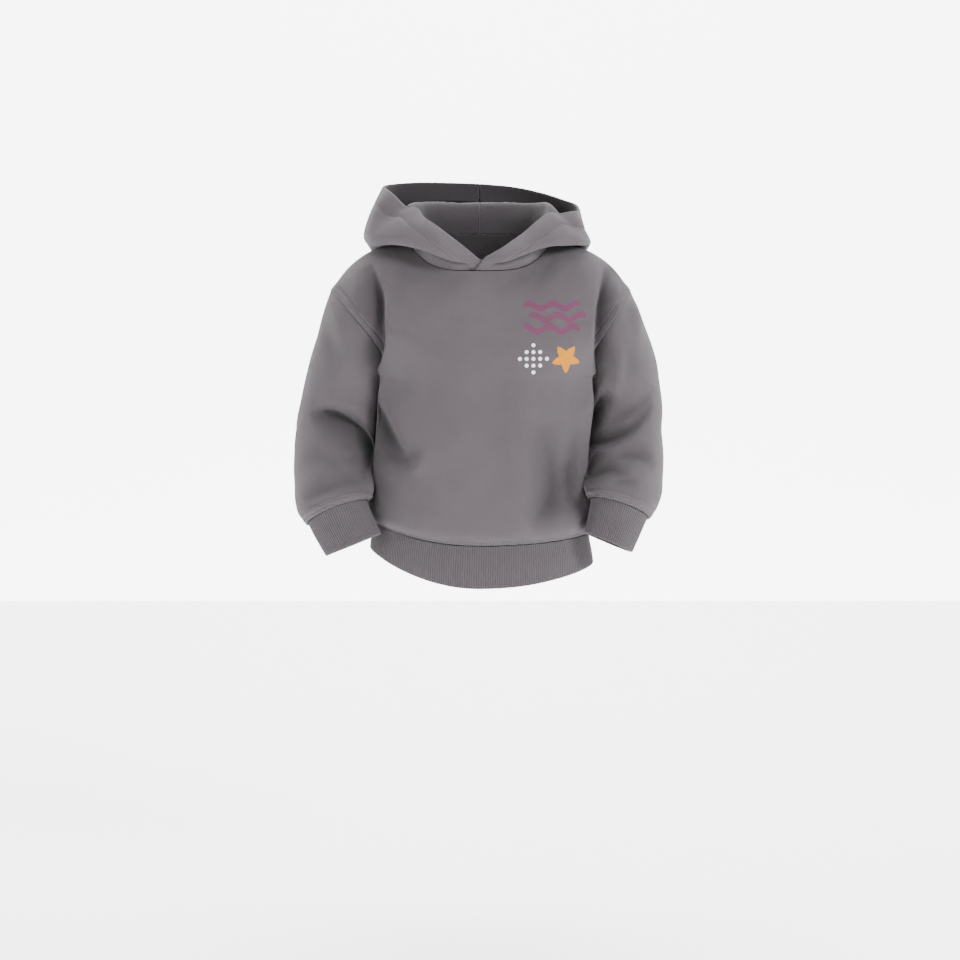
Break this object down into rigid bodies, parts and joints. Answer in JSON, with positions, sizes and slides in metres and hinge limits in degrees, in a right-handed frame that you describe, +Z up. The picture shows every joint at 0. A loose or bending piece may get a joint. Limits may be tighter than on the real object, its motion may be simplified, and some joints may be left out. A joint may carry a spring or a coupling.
{
  "type": "toddler pullover hoodie",
  "caption": "Toddler's worn pullover hoodie with a lowered hood, drop-shoulder sleeves, ribbed cuffs and a ribbed hem band.",
  "frame": {"origin": "centre of the neck opening at the height of the shoulders, where the wearer's shoulders hold the garment up", "axes": "+Z up, the front faces -Y, +X is the wearer's left"},
  "size_m": [0.3713, 0.2233, 0.3992],
  "materials": {
    "fleece": "charcoal mauve brushed sweatshirt fleece",
    "rib_knit": "charcoal mauve rib knit"
  },
  "bodies": {
    "root": {"front": "fleece", "back": "fleece", "sleeve_left": "fleece", "sleeve_right": "fleece", "hood_left": "fleece", "hood_right": "fleece", "cuff_left": "rib_knit", "cuff_right": "rib_knit", "hem_band": "rib_knit"}
  },
  "joints": []
}
